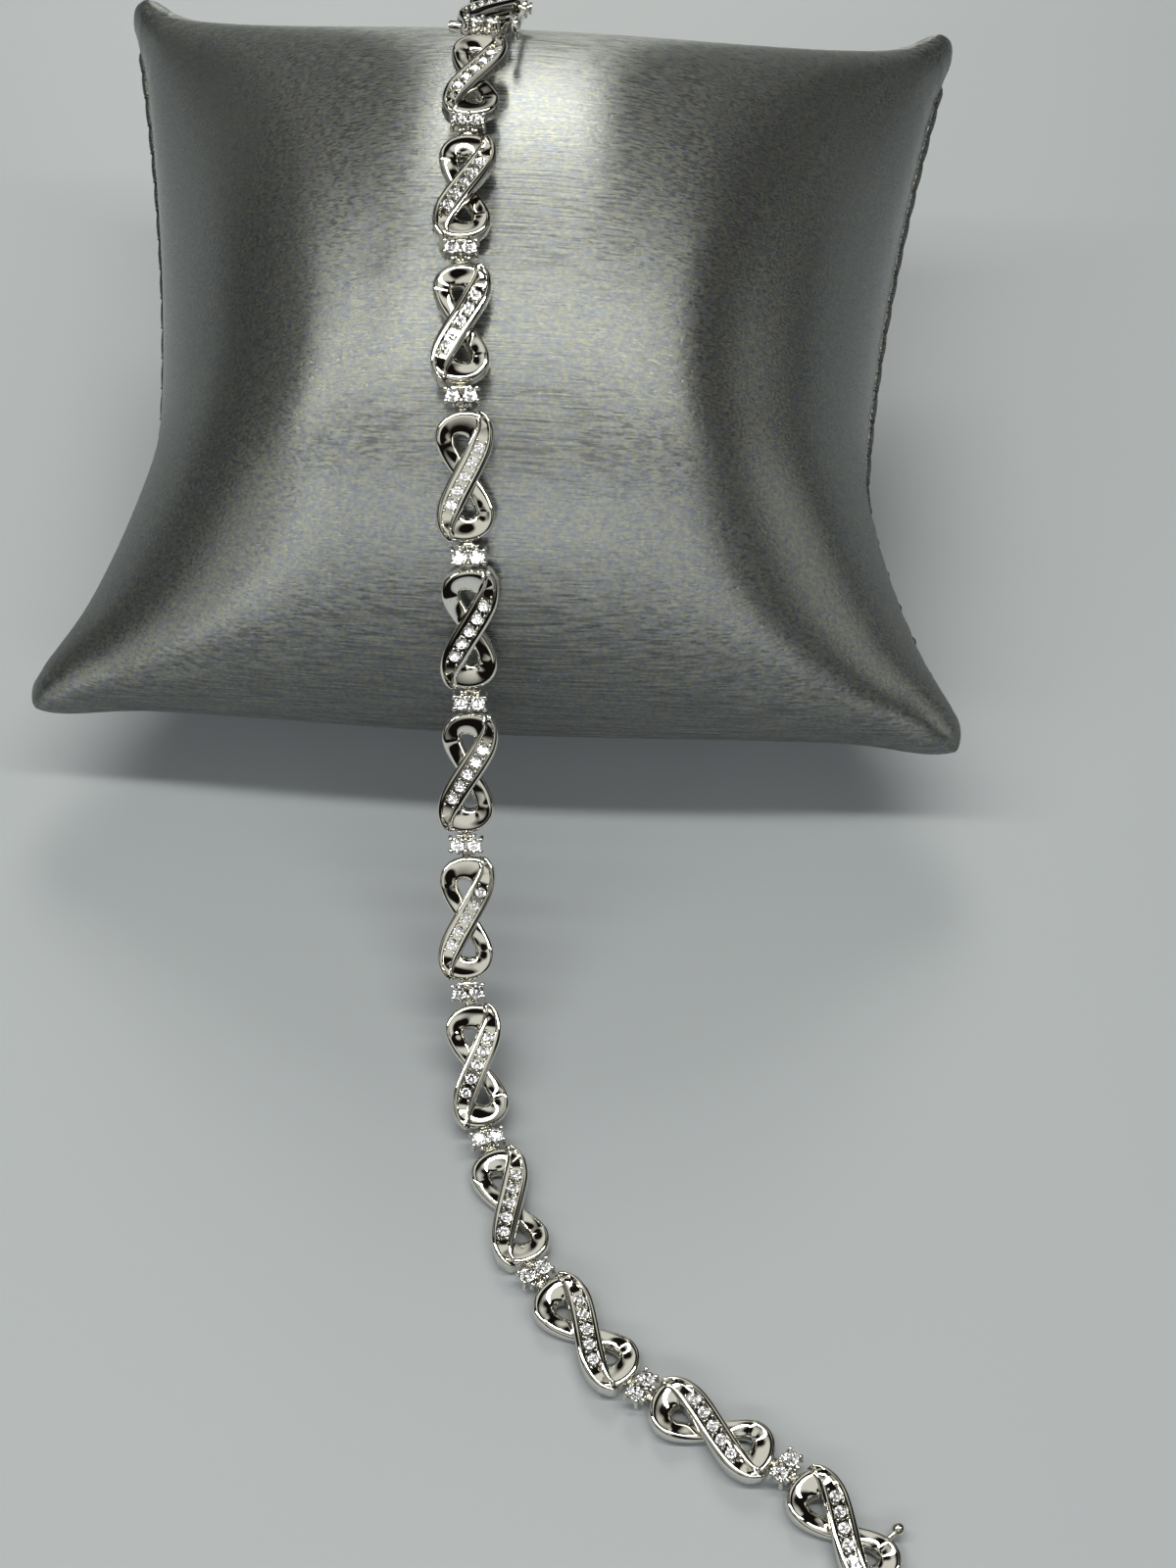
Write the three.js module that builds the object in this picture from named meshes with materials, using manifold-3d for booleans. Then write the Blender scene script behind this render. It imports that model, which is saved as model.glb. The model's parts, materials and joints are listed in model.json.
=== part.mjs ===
// An infinity bracelet laid open over a plain display pillow.
// Millimetres, +Z up. The origin is on the pillow's flat base, under the middle of its four
// corners, with +X to the right and +Y towards the pillow's back edge.
//
// Thirteen figure-of-eight links are pinned to twelve short two-stone connectors. Each link is
// modelled once in a frame of its own, with +Y towards the clasp, +Z out of the wrist side and
// Z = 0 on the hinge pins, and is then set along the chain's route.

import * as THREE from 'three'
import { mergeGeometries, mergeVertices } from 'three/addons/utils/BufferGeometryUtils.js'
import Module from 'manifold-3d'

// ---- driving dimensions ------------------------------------------------------------------------

const LINK = {
  pitch: 12.5, // hinge pin to hinge pin
  fullness: 0.16, // moves the widest places towards the ends
  bottom: -0.92,
  top: 1.32,
}

const TOP_STRAND = {
  lobe: 1.7, // centre line, greatest reach to each side
  halfLength: 5.05, // centre line, middle to end
  sweep: 78,
  widthMiddle: 2.45,
  widthEnd: 1.4,
  arch: 1.0,
  endDrop: 0.42,
}
const UNDER_STRAND = {
  lobe: 1.78,
  halfLength: 4.7,
  sweep: 104,
  widthMiddle: 1.4,
  widthEnd: 2.1,
  top: 0.66,
  dip: 0.5,
  roll: 20,
}

const HINGE = {
  pitch: 1.6, // between the two pins of a connector
  eyeRadius: 0.46,
  holeRadius: 0.33,
  pinRadius: 0.16,
  eyeHalf: 0.38,
  cheekRadius: 0.38,
  cheekInner: 0.56,
  cheekOuter: 0.92,
}

const SETTING = {
  spacing: 1.58, // between the two stones
  prongX: 1.53,
  prongY: 0.7,
  prongRadius: 0.23,
  plateBottom: 0.58,
  plateTop: 0.76,
  top: 1.56,
}

const STONE = { diameter: 1.34, culet: 0.82, girdle: 1.28, edge: 0.05, table: 1.5, tableRadius: 0.37 }

const CLASP = {
  boxWidth: 4.1,
  boxBack: -5.1,
  boxFront: 6.1,
  boxTop: 0.34,
  wall: 0.4,
  slotWidth: 2.9,
  slotDepth: 7,
  tabRadius: 0.58,
  tabReach: 3.45,
  tabY: -4.9,
  tongueWidth: 2.5,
  tongueThick: 0.55,
  tongueLength: 5.4,
}

const CATCH = {
  pivotY: 2.7,
  pivotZ: 0.3,
  loopSpacing: 8.5,
  pivotLoop: 1.05,
  ballLoop: 1.3,
  pivotHole: 0.46,
  ballHole: 0.72,
  pinRadius: 0.32,
  inner: 2.98,
  outer: 3.48,
  headOuter: 3.92,
  headRadius: 0.62,
}

const BALL_POST = { y: -2.9, neckRadius: 0.26, ballX: 3.66, ballRadius: 0.6, z: 0.15 }

const PILLOW = {
  corner: 46, // middle to a corner, left and right
  waist: 36.2, // middle to the side seam's waist
  waistAt: -0.35, // where the waist is, from -1 at the front fold to 1 at the back
  seamHalf: 44, // half a side seam, along its slope
  seamHeight: 19.5,
  tilt: 12.5, // the back edge stands higher than the front edge
  bodyHalf: 39, // the fat middle, front to back
  bodyThick: 28,
  bodyY: -7.9,
  bodyZ: 23.4,
  edgePower: 2.1,
  seamPower: 2.3,
  seamRound: 0.62,
  waistPower: 1.5,
}

// The free end's last hinge point, on the surface that carries the pillow.
const FREE_END = { x: 38.7, y: -123.3 }

// How each link lies, from the clasp to the free end: its drop towards the free end, and its turn
// to the right of straight ahead, in degrees.
const ROUTE = [
  { drop: -24.5, turn: -3 },
  { drop: 0.5, turn: -1 },
  { drop: 12, turn: 1 },
  { drop: 21, turn: 4 },
  { drop: 43.5, turn: 6.5 },
  { drop: 59, turn: 3.5 },
  { drop: 50, turn: 0 },
  { drop: 32, turn: 4 },
  { drop: 19, turn: 11.5 },
  { drop: 0, turn: 21.5 },
  { drop: 0, turn: 44 },
  { drop: 0, turn: 64 },
  { drop: 0, turn: 43.5 },
]

// ---- materials ---------------------------------------------------------------------------------

const whiteGold = new THREE.MeshStandardMaterial({ color: '#d9d7cf', roughness: 0.12, metalness: 1 })
const clearStone = new THREE.MeshStandardMaterial({ color: '#f4f6fa', roughness: 0.05, metalness: 0 })
const leatherette = new THREE.MeshStandardMaterial({ color: '#6d6a67', roughness: 0.42, metalness: 0.35 })

// ---- joining and cutting -----------------------------------------------------------------------

const wasm = await Module()
wasm.setup()

function weld(geometry) {
  const bare = geometry.clone()
  for (const name of Object.keys(bare.attributes)) {
    if (name !== 'position') bare.deleteAttribute(name)
  }
  return mergeVertices(bare, 1e-4)
}

function toSolid(geometry) {
  const welded = weld(geometry)
  return new wasm.Manifold(new wasm.Mesh({
    numProp: 3,
    vertProperties: new Float32Array(welded.attributes.position.array),
    triVerts: new Uint32Array(welded.index.array),
  }))
}

function toGeometry(solid) {
  const mesh = solid.getMesh()
  const geometry = new THREE.BufferGeometry()
  geometry.setAttribute('position', new THREE.BufferAttribute(mesh.vertProperties, 3))
  geometry.setIndex(new THREE.BufferAttribute(mesh.triVerts, 1))
  return geometry
}

function join(geometries) {
  return geometries.map(toSolid).reduce((all, solid) => all.add(solid))
}

function cut(solid, geometries) {
  return geometries.map(toSolid).reduce((rest, tool) => rest.subtract(tool), solid)
}

// ---- small shapes ------------------------------------------------------------------------------

function box(xRange, yRange, zRange) {
  const middle = (range) => (range[0] + range[1]) / 2
  const size = (range) => range[1] - range[0]
  return new THREE.BoxGeometry(size(xRange), size(yRange), size(zRange))
    .translate(middle(xRange), middle(yRange), middle(zRange))
}

function rodAlongX(radius, from, to, y, z, sides = 8) {
  return new THREE.CylinderGeometry(radius, radius, to - from, sides)
    .rotateZ(-Math.PI / 2)
    .translate((from + to) / 2, y, z)
}

function lerp(from, to, share) {
  return from + (to - from) * share
}

// ---- a figure-of-eight link --------------------------------------------------------------------

// Each strand follows x = lobe * sin(2a - fullness * sin(2a)), y = halfLength * sin(a), and the
// lower one is mirrored left to right.
// A strand is a closed eight-sided cylinder bent along it. Stretching its section and holding it
// inside a square leaves a band with broad flat faces and narrow bevels.
function strand({ lobe, halfLength, sweep, width, top, bottom, roll }) {
  const geometry = new THREE.CylinderGeometry(1, 1, 2, 8, 11)
  geometry.rotateY(Math.PI / 8)
  const squared = (value, stretch) => THREE.MathUtils.clamp(value * stretch, -1, 1)
  const position = geometry.attributes.position
  const reach = THREE.MathUtils.degToRad(sweep)
  for (let i = 0; i < position.count; i += 1) {
    const along = position.getY(i)
    const angle = along * reach
    const swing = 2 * angle - LINK.fullness * Math.sin(2 * angle)
    const swingRate = 2 - 2 * LINK.fullness * Math.cos(2 * angle)
    const centre = new THREE.Vector2(lobe * Math.sin(swing), halfLength * Math.sin(angle))
    const ahead = new THREE.Vector2(lobe * swingRate * Math.cos(swing), halfLength * Math.cos(angle))
    ahead.normalize()
    const across = squared(position.getX(i), 2) * width(along) * 0.5
    const share = 0.5 + 0.5 * squared(position.getZ(i), 1.6)
    const lift = lerp(bottom(along), top(along), share) + across * roll(along)
    position.setXYZ(i, centre.x + ahead.y * across, centre.y - ahead.x * across, Math.max(lift, LINK.bottom))
  }
  return geometry
}

function topStrand() {
  const { lobe, halfLength, sweep, widthMiddle, widthEnd, arch, endDrop } = TOP_STRAND
  return strand({
    lobe,
    halfLength,
    sweep,
    width: (along) => lerp(widthMiddle, widthEnd, along * along),
    top: (along) => LINK.top - endDrop * along * along,
    bottom: (along) => LINK.bottom + arch * Math.max(0, 1 - 4 * along * along),
    roll: () => 0,
  })
}

function underStrand() {
  const { lobe, halfLength, sweep, widthMiddle, widthEnd, top, dip, roll } = UNDER_STRAND
  const slope = Math.tan(THREE.MathUtils.degToRad(roll))
  return strand({
    lobe: -lobe,
    halfLength,
    sweep,
    width: (along) => lerp(widthMiddle, widthEnd, along * along),
    top: (along) => top - dip * Math.max(0, 1 - 9 * along * along),
    bottom: () => LINK.bottom,
    roll: (along) => -slope * Math.sin(Math.PI * THREE.MathUtils.clamp(along, -1, 1)),
  })
}

function hingeEye(end) {
  const y = end * LINK.pitch / 2
  const root = UNDER_STRAND.halfLength
  const neck = end > 0 ? [root, y] : [y, -root]
  return join([
    rodAlongX(HINGE.eyeRadius, -HINGE.eyeHalf, HINGE.eyeHalf, y, 0),
    box([-HINGE.eyeHalf, HINGE.eyeHalf], neck, [-0.34, 0.34]),
  ])
}

function hingeHole(end) {
  return rodAlongX(HINGE.holeRadius, -1, 1, end * LINK.pitch / 2, 0, 6)
}

function infinityLink(eyes) {
  let solid = join([topStrand(), underStrand()])
  for (const end of eyes) solid = solid.add(hingeEye(end))
  return cut(solid, eyes.map(hingeHole))
}

// ---- the two end links -------------------------------------------------------------------------

// The clasp's box closes the back of its link, open at the far end for the tongue. Its release tab
// stands out on the left, and the safety catch turns on the headed pin on the right.
function claspLink() {
  const half = CLASP.boxWidth / 2
  const tabX = [-CLASP.tabReach, -half + 0.3]
  const shell = box([-half, half], [CLASP.boxBack, CLASP.boxFront], [LINK.bottom, CLASP.boxTop])
  const slotZ = [LINK.bottom + CLASP.wall, CLASP.boxTop - 0.25]
  const slot = box(
    [-CLASP.slotWidth / 2, CLASP.slotWidth / 2],
    [CLASP.boxFront - CLASP.slotDepth, CLASP.boxFront + 1],
    slotZ,
  )
  const solid = cut(infinityLink([-1]).add(toSolid(shell)), [slot])
  const tab = rodAlongX(CLASP.tabRadius, ...tabX, CLASP.tabY, LINK.bottom + CLASP.tabRadius + 0.05)
  const pin = rodAlongX(CATCH.pinRadius, half - 0.3, CATCH.headOuter, CATCH.pivotY, CATCH.pivotZ)
  const head = rodAlongX(CATCH.headRadius, CATCH.outer + 0.14, CATCH.headOuter, CATCH.pivotY, CATCH.pivotZ)
  return solid.add(join([tab, pin, head]))
}

// The far end of the chain: a folded tongue that springs into the box, and the ball that the
// safety catch snaps over.
function tongueLink() {
  const { y, neckRadius, ballX, ballRadius, z } = BALL_POST
  const end = -UNDER_STRAND.halfLength
  const tongue = box(
    [-CLASP.tongueWidth / 2, CLASP.tongueWidth / 2],
    [end - CLASP.tongueLength, end + 0.4],
    [-CLASP.tongueThick / 2, CLASP.tongueThick / 2],
  )
  const neck = rodAlongX(neckRadius, 2, ballX, y, z, 8)
  const ball = new THREE.SphereGeometry(ballRadius, 12, 8).translate(ballX, y, z)
  return infinityLink([1]).add(join([tongue, neck, ball]))
}

// A flat figure of eight: a small loop round the pin and a larger one for the ball.
function safetyCatch() {
  const { loopSpacing, pivotLoop, ballLoop, pivotHole, ballHole, inner, outer } = CATCH
  const ring = (radius, y, sides) => rodAlongX(radius, inner, outer, y, 0, sides)
  const waist = box([inner, outer], [-loopSpacing + ballLoop * 0.8, -pivotLoop * 0.8], [-0.42, 0.42])
  const body = join([ring(pivotLoop, 0, 18), ring(ballLoop, -loopSpacing, 20), waist])
  return cut(body, [
    rodAlongX(pivotHole, inner - 1, outer + 1, 0, 0, 14),
    rodAlongX(ballHole, inner - 1, outer + 1, -loopSpacing, 0, 14),
  ])
}

// ---- a two-stone connector ---------------------------------------------------------------------

// One cheek of the fork, round under both pins.
function cheek(side) {
  const { pitch, cheekRadius, cheekInner, cheekOuter } = HINGE
  const half = pitch / 2
  const outline = new THREE.Shape()
    .moveTo(half + cheekRadius, SETTING.plateTop)
    .lineTo(-half - cheekRadius, SETTING.plateTop)
    .absarc(-half, 0, cheekRadius, Math.PI, Math.PI * 1.5)
    .absarc(half, 0, cheekRadius, -Math.PI / 2, 0)
  const depth = cheekOuter - cheekInner
  return new THREE.ExtrudeGeometry(outline, { depth, bevelEnabled: false, curveSegments: 2 })
    .rotateX(Math.PI / 2)
    .rotateZ(Math.PI / 2)
    .translate(side > 0 ? cheekInner : -cheekOuter, 0, 0)
}

function connector() {
  const { prongX, prongY, prongRadius, plateBottom, plateTop, top } = SETTING
  const pinHalf = (HINGE.cheekInner + HINGE.cheekOuter) / 2
  const pins = [-1, 1].map((end) => rodAlongX(HINGE.pinRadius, -pinHalf, pinHalf, end * HINGE.pitch / 2, 0, 6))
  const edge = prongX + prongRadius * 0.6
  const plate = box([-edge, edge], [-prongY - 0.1, prongY + 0.1], [plateBottom, plateTop])
  const prongs = []
  for (const x of [-prongX, 0, prongX]) {
    for (const y of [-prongY, prongY]) {
      const height = top - plateTop + 0.04
      const prong = new THREE.CylinderGeometry(prongRadius, prongRadius, height, 6)
      prongs.push(prong.rotateX(Math.PI / 2).translate(x, y, top - height / 2))
    }
  }
  return join([cheek(-1), cheek(1), plate, ...pins, ...prongs])
}

// A round brilliant: culet, pavilion, girdle, crown and table.
function stone(side) {
  const { diameter, culet, girdle, edge, table, tableRadius } = STONE
  const profile = [
    new THREE.Vector2(0, culet),
    new THREE.Vector2(diameter / 2, girdle),
    new THREE.Vector2(diameter / 2, girdle + edge),
    new THREE.Vector2(tableRadius, table),
    new THREE.Vector2(0, table),
  ]
  return new THREE.LatheGeometry(profile, 8)
    .rotateX(Math.PI / 2)
    .translate(side * SETTING.spacing / 2, 0, 0)
}

// ---- the display pillow ------------------------------------------------------------------------

// A stuffed tube of leatherette, folded at the front and back and seamed at the left and right.
// u runs from the left seam to the right one, v from the front fold to the back one, and face is
// 1 on the upper side and -1 on the lower side.
function pillowPoint(u, v, face) {
  const full = (1 - Math.abs(u) ** PILLOW.seamPower) ** PILLOW.seamRound
  const fromWaist = (v - PILLOW.waistAt) / (Math.sign(v - PILLOW.waistAt) - PILLOW.waistAt)
  const halfWidth = lerp(PILLOW.waist, PILLOW.corner, fromWaist ** PILLOW.waistPower)
  const along = v * lerp(PILLOW.seamHalf, PILLOW.bodyHalf, full)
  const round = Math.max(0, 1 - Math.abs(v) ** PILLOW.edgePower) ** (1 / PILLOW.edgePower)
  const away = face * PILLOW.bodyThick * full * round
  const tilt = THREE.MathUtils.degToRad(PILLOW.tilt)
  const y = PILLOW.bodyY * full + along * Math.cos(tilt) - away * Math.sin(tilt)
  const z = lerp(PILLOW.seamHeight, PILLOW.bodyZ, full) + along * Math.sin(tilt) + away * Math.cos(tilt)
  return [u * halfWidth, y, Math.max(z, 0)]
}

function pillow() {
  const columns = 22
  const rows = 20
  const sheets = [1, -1].map((face) => {
    const sheet = new THREE.PlaneGeometry(2, 2, columns, rows)
    const position = sheet.attributes.position
    for (let i = 0; i < position.count; i += 1) {
      const u = Math.sin(position.getX(i) * Math.PI / 2)
      const v = Math.sin(position.getY(i) * Math.PI / 2)
      position.setXYZ(i, ...pillowPoint(u, v, face))
    }
    if (face < 0) sheet.index.array.reverse()
    return sheet
  })
  return weld(mergeGeometries(sheets))
}

// ---- the chain's route -------------------------------------------------------------------------

function heading({ drop, turn }) {
  const [slope, bend] = [drop, turn].map(THREE.MathUtils.degToRad)
  return new THREE.Vector3(
    Math.cos(slope) * Math.sin(bend),
    -Math.cos(slope) * Math.cos(bend),
    -Math.sin(slope),
  )
}

function frameAt(centre, ahead) {
  const yAxis = ahead.clone().negate()
  const xAxis = new THREE.Vector3().crossVectors(yAxis, new THREE.Vector3(0, 0, 1)).normalize()
  const zAxis = new THREE.Vector3().crossVectors(xAxis, yAxis)
  return new THREE.Matrix4().makeBasis(xAxis, yAxis, zAxis).setPosition(centre)
}

// Walks from the free end to the clasp, so that the free end lies flat, and returns the frames of
// the links and of the connectors, both in order from the clasp.
function layChain() {
  const ahead = ROUTE.map(heading)
  const links = []
  const connectors = []
  let hinge = new THREE.Vector3(FREE_END.x, FREE_END.y, -LINK.bottom)
  for (let i = ROUTE.length - 1; i >= 0; i -= 1) {
    const next = hinge.clone().addScaledVector(ahead[i], -LINK.pitch)
    links.unshift(frameAt(hinge.clone().lerp(next, 0.5), ahead[i]))
    hinge = next
    if (i > 0) {
      const between = ahead[i].clone().add(ahead[i - 1]).normalize()
      const far = hinge.clone().addScaledVector(between, -HINGE.pitch)
      connectors.unshift(frameAt(hinge.clone().lerp(far, 0.5), between))
      hinge = far
    }
  }
  return { links, connectors }
}

// ---- assembly ----------------------------------------------------------------------------------

const bracelet = new THREE.Group()

function place(parent, name, geometry, material, frame) {
  const mesh = new THREE.Mesh(geometry, material)
  mesh.name = name
  if (frame) mesh.applyMatrix4(frame)
  parent.add(mesh)
  return mesh
}

const number = (index) => String(index + 1).padStart(2, '0')
const route = layChain()

const plainLink = toGeometry(infinityLink([-1, 1]))
route.links.forEach((frame, index) => {
  if (index === 0) {
    place(bracelet, 'clasp_link_01', toGeometry(claspLink()), whiteGold, frame)
  } else if (index === ROUTE.length - 1) {
    place(bracelet, `tongue_link_${number(index)}`, toGeometry(tongueLink()), whiteGold, frame)
  } else {
    place(bracelet, `infinity_link_${number(index)}`, plainLink, whiteGold, frame)
  }
})

const catchPivot = new THREE.Matrix4().makeTranslation(0, CATCH.pivotY, CATCH.pivotZ)
place(bracelet, 'safety_catch', toGeometry(safetyCatch()), whiteGold, route.links[0].clone().multiply(catchPivot))

const setting = toGeometry(connector())
route.connectors.forEach((frame, index) => {
  place(bracelet, `connector_${number(index)}`, setting, whiteGold, frame)
  place(bracelet, `stone_${number(index)}_left`, stone(-1), clearStone, frame)
  place(bracelet, `stone_${number(index)}_right`, stone(1), clearStone, frame)
})

place(bracelet, 'display_pillow', pillow(), leatherette)

export default bracelet
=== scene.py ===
# %% [markdown]
# # An infinity bracelet on its display pillow
#
# The bracelet is a chain of polished figure-of-eight links with short two-stone connectors
# between them. It lies open over a stuffed leatherette pillow, as a shop shows it. The CAD frame
# already holds every piece at its real size. This lesson models the finished look of each piece
# in its own small frame, and then sets the copies along the chain's route.

import json
import math
from collections import namedtuple

import bmesh
import bpy
from mathutils import Matrix, Vector, bvhtree, kdtree

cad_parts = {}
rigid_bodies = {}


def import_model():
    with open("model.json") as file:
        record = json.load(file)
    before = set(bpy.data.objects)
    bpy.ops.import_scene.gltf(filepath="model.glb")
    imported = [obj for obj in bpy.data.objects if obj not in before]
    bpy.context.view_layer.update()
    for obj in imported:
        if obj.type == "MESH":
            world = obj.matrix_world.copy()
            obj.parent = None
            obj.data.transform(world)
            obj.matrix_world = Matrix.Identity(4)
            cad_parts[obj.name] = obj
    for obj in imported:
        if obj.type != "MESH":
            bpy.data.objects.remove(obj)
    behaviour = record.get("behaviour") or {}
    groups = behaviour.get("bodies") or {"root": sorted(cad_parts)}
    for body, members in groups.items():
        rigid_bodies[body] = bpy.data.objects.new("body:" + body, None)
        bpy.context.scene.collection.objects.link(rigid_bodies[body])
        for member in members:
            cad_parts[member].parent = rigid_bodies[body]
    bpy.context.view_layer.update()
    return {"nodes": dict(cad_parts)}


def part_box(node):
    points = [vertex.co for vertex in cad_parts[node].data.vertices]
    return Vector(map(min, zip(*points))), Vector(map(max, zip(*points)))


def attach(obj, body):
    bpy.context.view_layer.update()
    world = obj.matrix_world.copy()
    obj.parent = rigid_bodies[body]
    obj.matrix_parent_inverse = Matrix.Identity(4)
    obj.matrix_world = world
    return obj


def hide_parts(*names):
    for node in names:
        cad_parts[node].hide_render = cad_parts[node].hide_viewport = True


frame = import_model()
MM = 0.001

# %% [markdown]
# ## The route of the chain
#
# Each link lies at its own slope. A drop is how steeply it falls towards the free end, and a turn
# is how far it points to the right of straight ahead. Walking from the free end, which lies flat,
# to the clasp gives every link and every connector a frame of its own: +Y towards the clasp, +Z
# up out of the face, and Z = 0 on the hinge pins.

# %% Lay the chain
Lay = namedtuple("Lay", "drop turn")
ROUTE = [
    Lay(-24.5, -3),
    Lay(0.5, -1),
    Lay(12, 1),
    Lay(21, 4),
    Lay(43.5, 6.5),
    Lay(59, 3.5),
    Lay(50, 0),
    Lay(32, 4),
    Lay(19, 11.5),
    Lay(0, 21.5),
    Lay(0, 44),
    Lay(0, 64),
    Lay(0, 43.5),
]
FREE_END = Vector((38.7, -123.3, 0.92))
LINK_PITCH = 12.5
HINGE_PITCH = 1.6


def heading(lay):
    drop = math.radians(lay.drop)
    turn = math.radians(lay.turn)
    level = math.cos(drop)
    return Vector((level * math.sin(turn), -level * math.cos(turn), -math.sin(drop)))


def frame_at(centre, ahead):
    y_axis = -ahead
    x_axis = y_axis.cross(Vector((0, 0, 1))).normalized()
    z_axis = x_axis.cross(y_axis)
    turned = Matrix((x_axis, y_axis, z_axis)).transposed()
    return Matrix.Translation(centre) @ turned.to_4x4()


def lay_chain():
    ahead = [heading(lay) for lay in ROUTE]
    links = []
    connectors = []
    hinge = FREE_END.copy()
    for index in reversed(range(len(ROUTE))):
        upper = hinge - ahead[index] * LINK_PITCH
        links.insert(0, frame_at((hinge + upper) / 2, ahead[index]))
        hinge = upper
        if index:
            between = (ahead[index] + ahead[index - 1]).normalized()
            upper = hinge - between * HINGE_PITCH
            connectors.insert(0, frame_at((hinge + upper) / 2, between))
            hinge = upper
    return links, connectors


link_frames, connector_frames = lay_chain()
low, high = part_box("infinity_link_06")
middle = Vector(low).lerp(Vector(high), 0.5) / MM
print("link 6 centre, here and in CAD:", link_frames[5].translation[:], middle[:])

# %% [markdown]
# ## Small tools for making pieces
#
# A piece is drawn in millimetres near the origin, moved to its place, shrunk to metres, and left
# with an object that sits unturned at the origin. A strand is a flat grid rolled into a tube:
# every vertex of the grid knows how far along and how far round it is, so one formula shapes
# the whole strand, and merging the edge that meets itself closes it.

# %% Piece tools
CHAIN_BODY = "draped"
SIDES = ((-1, "left"), (1, "right"))


def new_object(name, bm):
    """A new object in the scene, made from a bmesh."""
    mesh = bpy.data.meshes.new(name)
    bm.to_mesh(mesh)
    bm.free()
    made = bpy.data.objects.new(name, mesh)
    bpy.context.scene.collection.objects.link(made)
    return made


def finished(name, bm, place, material, body=CHAIN_BODY, replaces=(), smooth_below=40):
    bmesh.ops.transform(bm, matrix=Matrix.Scale(MM, 4) @ place, verts=bm.verts)
    piece = new_object(name, bm)
    piece.data.materials.append(material)
    if smooth_below:
        piece.data.shade_smooth()
        piece.data.set_sharp_from_angle(angle=math.radians(smooth_below))
    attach(piece, body)
    if replaces:
        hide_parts(*replaces)
    return piece


def rolled_tube(columns, rows, place):
    """A grid whose points are put at place(along, around): -1 to 1 along, whole steps around."""
    bm = bmesh.new()
    bmesh.ops.create_grid(bm, x_segments=rows, y_segments=columns, size=1)
    for vert in bm.verts:
        around = round((vert.co.y + 1) / 2 * columns) % columns
        vert.co = place(vert.co.x, around)
    bmesh.ops.remove_doubles(bm, verts=bm.verts, dist=1e-5)
    bmesh.ops.holes_fill(bm, edges=bm.edges, sides=columns + 1)
    bmesh.ops.recalc_face_normals(bm, faces=bm.faces)
    return bm


def take_in(bm, other):
    """Moves everything from another bmesh into this one."""
    mesh = bpy.data.meshes.new("passing")
    other.to_mesh(mesh)
    other.free()
    bm.from_mesh(mesh)
    bpy.data.meshes.remove(mesh)


def mix(start, end, share):
    return start + (end - start) * share


def ramp(value, start, end):
    share = min(max((value - start) / (end - start), 0), 1)
    return share * share * (3 - 2 * share)


# %% Rods, rings and rounded blocks
ALONG_X = Matrix.Rotation(math.pi / 2, 4, "Y")
STANDING = Matrix.Rotation(math.pi / 2, 4, "X")


def round_edges(bm, edges, offset, segments):
    bmesh.ops.bevel(
        bm,
        geom=edges,
        offset=offset,
        segments=segments,
        profile=0.5,
        affect="EDGES",
        material=-1,
    )


def spin_round(bm, axis, steps):
    """Sweeps an outline once round an axis through the origin, and closes it."""
    bmesh.ops.spin(
        bm,
        geom=bm.verts[:] + bm.edges[:],
        cent=(0, 0, 0),
        axis=axis,
        angle=2 * math.pi,
        steps=steps,
        use_merge=True,
    )
    bmesh.ops.remove_doubles(bm, verts=bm.verts, dist=1e-4)


def add_rod(bm, radius, x_from, x_to, y, z, segments=20, rounding=0.25):
    """A round rod along X with softened ends."""
    rod = bmesh.new()
    depth = x_to - x_from
    bmesh.ops.create_cone(
        rod, cap_ends=True, segments=segments, radius1=radius, radius2=radius, depth=depth
    )
    rims = [edge for edge in rod.edges if abs(edge.verts[0].co.z - edge.verts[1].co.z) < 1e-6]
    round_edges(rod, rims, radius * rounding, segments=2)
    place = Matrix.Translation(((x_from + x_to) / 2, y, z)) @ ALONG_X
    bmesh.ops.transform(rod, matrix=place, verts=rod.verts)
    take_in(bm, rod)


def add_ring(bm, inner, outer, x_from, x_to, y, z, segments=24):
    """A rounded ring whose hole runs along X."""
    ring = bmesh.new()
    section = Matrix.Translation((0, 0, (inner + outer) / 2))
    bmesh.ops.create_circle(ring, segments=12, radius=1, matrix=STANDING)
    for vert in ring.verts:
        square = 1 / max(abs(vert.co.x), abs(vert.co.z)) ** 0.6
        vert.co.x *= square * (x_to - x_from) / 2
        vert.co.z *= square * (outer - inner) / 2
    bmesh.ops.transform(ring, matrix=section, verts=ring.verts)
    spin_round(ring, (1, 0, 0), segments)
    bmesh.ops.translate(ring, verts=ring.verts, vec=((x_from + x_to) / 2, y, z))
    bmesh.ops.recalc_face_normals(ring, faces=ring.faces)
    take_in(bm, ring)


def add_block(bm, x_range, y_range, z_range, rounding=0.1, segments=3):
    """A block with rounded edges."""
    block = bmesh.new()
    bmesh.ops.create_cube(block, size=1)
    size = [high - low for low, high in (x_range, y_range, z_range)]
    centre = [(high + low) / 2 for low, high in (x_range, y_range, z_range)]
    bmesh.ops.scale(block, verts=block.verts, vec=size)
    round_edges(block, block.edges[:], rounding, segments)
    bmesh.ops.translate(block, verts=block.verts, vec=centre)
    take_in(bm, block)


def add_bead(bm, radius, centre, squash=1.0):
    place = Matrix.Translation(centre) @ Matrix.Diagonal((1, 1, squash, 1))
    bmesh.ops.create_icosphere(bm, subdivisions=2, radius=radius, matrix=place)


# %% [markdown]
# ## Polished white metal
#
# The metal is white gold or rhodium-plated silver: nearly a mirror, a little warm. A perfect
# mirror looks computer-made, so a node group adds what wear leaves: very fine scuffs that lift
# the roughness in patches, and a slow unevenness of the surface from hand polishing. Both read
# Object coordinates, so they stay on the metal from every side.

# %% Wear as a node group


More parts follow.
